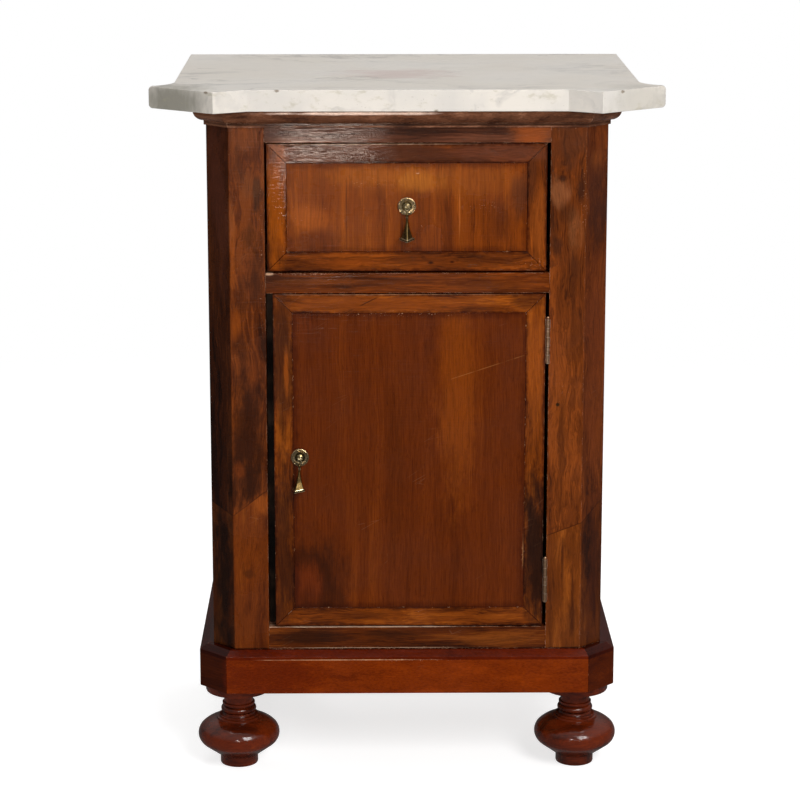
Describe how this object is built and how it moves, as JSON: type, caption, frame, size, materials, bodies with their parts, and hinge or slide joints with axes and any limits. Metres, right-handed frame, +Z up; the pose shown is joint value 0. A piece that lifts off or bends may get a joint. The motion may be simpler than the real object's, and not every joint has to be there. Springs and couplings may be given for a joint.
{
  "type": "bedside pot cupboard",
  "caption": "Bedside pot cupboard with a marble top on ears, a drawer over a hinged door, canted corners, a plinth and turned bun feet.",
  "frame": {"origin": "on the floor under the middle of the marble's outline", "axes": "+Z up, +Y to the back, +X to the right as seen from the front, which faces -Y"},
  "size_m": [0.575, 0.386, 0.8],
  "materials": {
    "marble": "honed, worn arrises",
    "walnut_veneer": "old french polish over walnut veneer",
    "border_veneer": "old french polish over crossbanding",
    "field_veneer": "old french polish over straight grained veneer",
    "side_veneer": "old french polish",
    "moulding_wood": "old french polish, dark",
    "plinth_wood": "red stain, glossy",
    "foot_wood": "red stain, glossy, turned",
    "carcase_wood": "bare softwood, aged",
    "hinge_brass": "dull, aged",
    "pull_brass": "polished"
  },
  "bodies": {
    "cabinet": {"marble_top": "marble", "top_moulding_front": "moulding_wood", "top_moulding_left_cant": "moulding_wood", "top_moulding_right_cant": "moulding_wood", "top_moulding_left_side": "moulding_wood", "top_moulding_right_side": "moulding_wood", "front_post_left": "walnut_veneer", "front_post_right": "walnut_veneer", "side_panel_left": "side_veneer", "side_panel_right": "side_veneer", "top_rail": "walnut_veneer", "drawer_rail": "walnut_veneer", "bottom_rail": "walnut_veneer", "rear_top_rail": "carcase_wood", "back_panel": "carcase_wood", "cupboard_floor": "carcase_wood", "dust_board": "carcase_wood", "drawer_runner_left": "carcase_wood", "drawer_runner_right": "carcase_wood", "drawer_guide_left": "carcase_wood", "drawer_guide_right": "carcase_wood", "drawer_kicker_left": "carcase_wood", "drawer_kicker_right": "carcase_wood", "drawer_stops": "carcase_wood", "door_stop": "carcase_wood", "plinth_front": "plinth_wood", "plinth_left_cant": "plinth_wood", "plinth_right_cant": "plinth_wood", "plinth_left_side": "plinth_wood", "plinth_right_side": "plinth_wood", "plinth_back": "carcase_wood", "foot_blocks": "carcase_wood", "foot_front_left": "foot_wood", "foot_front_right": "foot_wood", "foot_rear_left": "foot_wood", "foot_rear_right": "foot_wood", "hinge_upper_case_leaf": "hinge_brass", "hinge_lower_case_leaf": "hinge_brass", "hinge_upper_pin": "hinge_brass", "hinge_lower_pin": "hinge_brass", "hinge_case_screws": "hinge_brass"},
    "drawer": {"drawer_front": "field_veneer", "drawer_border": "border_veneer", "drawer_side_left": "carcase_wood", "drawer_side_right": "carcase_wood", "drawer_back": "carcase_wood", "drawer_bottom": "carcase_wood", "drawer_pull_rosette": "pull_brass", "drawer_pull_post": "pull_brass", "drawer_pull_nut": "pull_brass"},
    "door": {"door_board": "field_veneer", "door_border": "border_veneer", "door_pull_rosette": "pull_brass", "door_pull_post": "pull_brass", "door_pull_nut": "pull_brass", "hinge_upper_door_leaf": "hinge_brass", "hinge_lower_door_leaf": "hinge_brass", "hinge_door_screws": "hinge_brass"},
    "drawer_handle": {"drawer_drop": "pull_brass"},
    "door_handle": {"door_drop": "pull_brass"}
  },
  "joints": [
    {"name": "drawer_slide", "type": "slide", "parent": "cabinet", "child": "drawer", "axis": [0, -1, 0], "range_m": [0, 0.24]},
    {"name": "door_hinge", "type": "hinge", "parent": "cabinet", "child": "door", "pos_m": [0.158, -0.1576, 0.373], "axis": [0, 0, 1], "range_deg": [0, 170]},
    {"name": "drawer_drop_swing", "type": "hinge", "parent": "drawer", "child": "drawer_handle", "pos_m": [-0.0008, -0.1636, 0.6676], "axis": [-1, 0, 0], "range_deg": [0, 170]},
    {"name": "door_drop_swing", "type": "hinge", "parent": "door", "child": "door_handle", "pos_m": [-0.1223, -0.1643, 0.379], "axis": [-0.999, 0, 0.0436], "range_deg": [0, 170]}
  ]
}
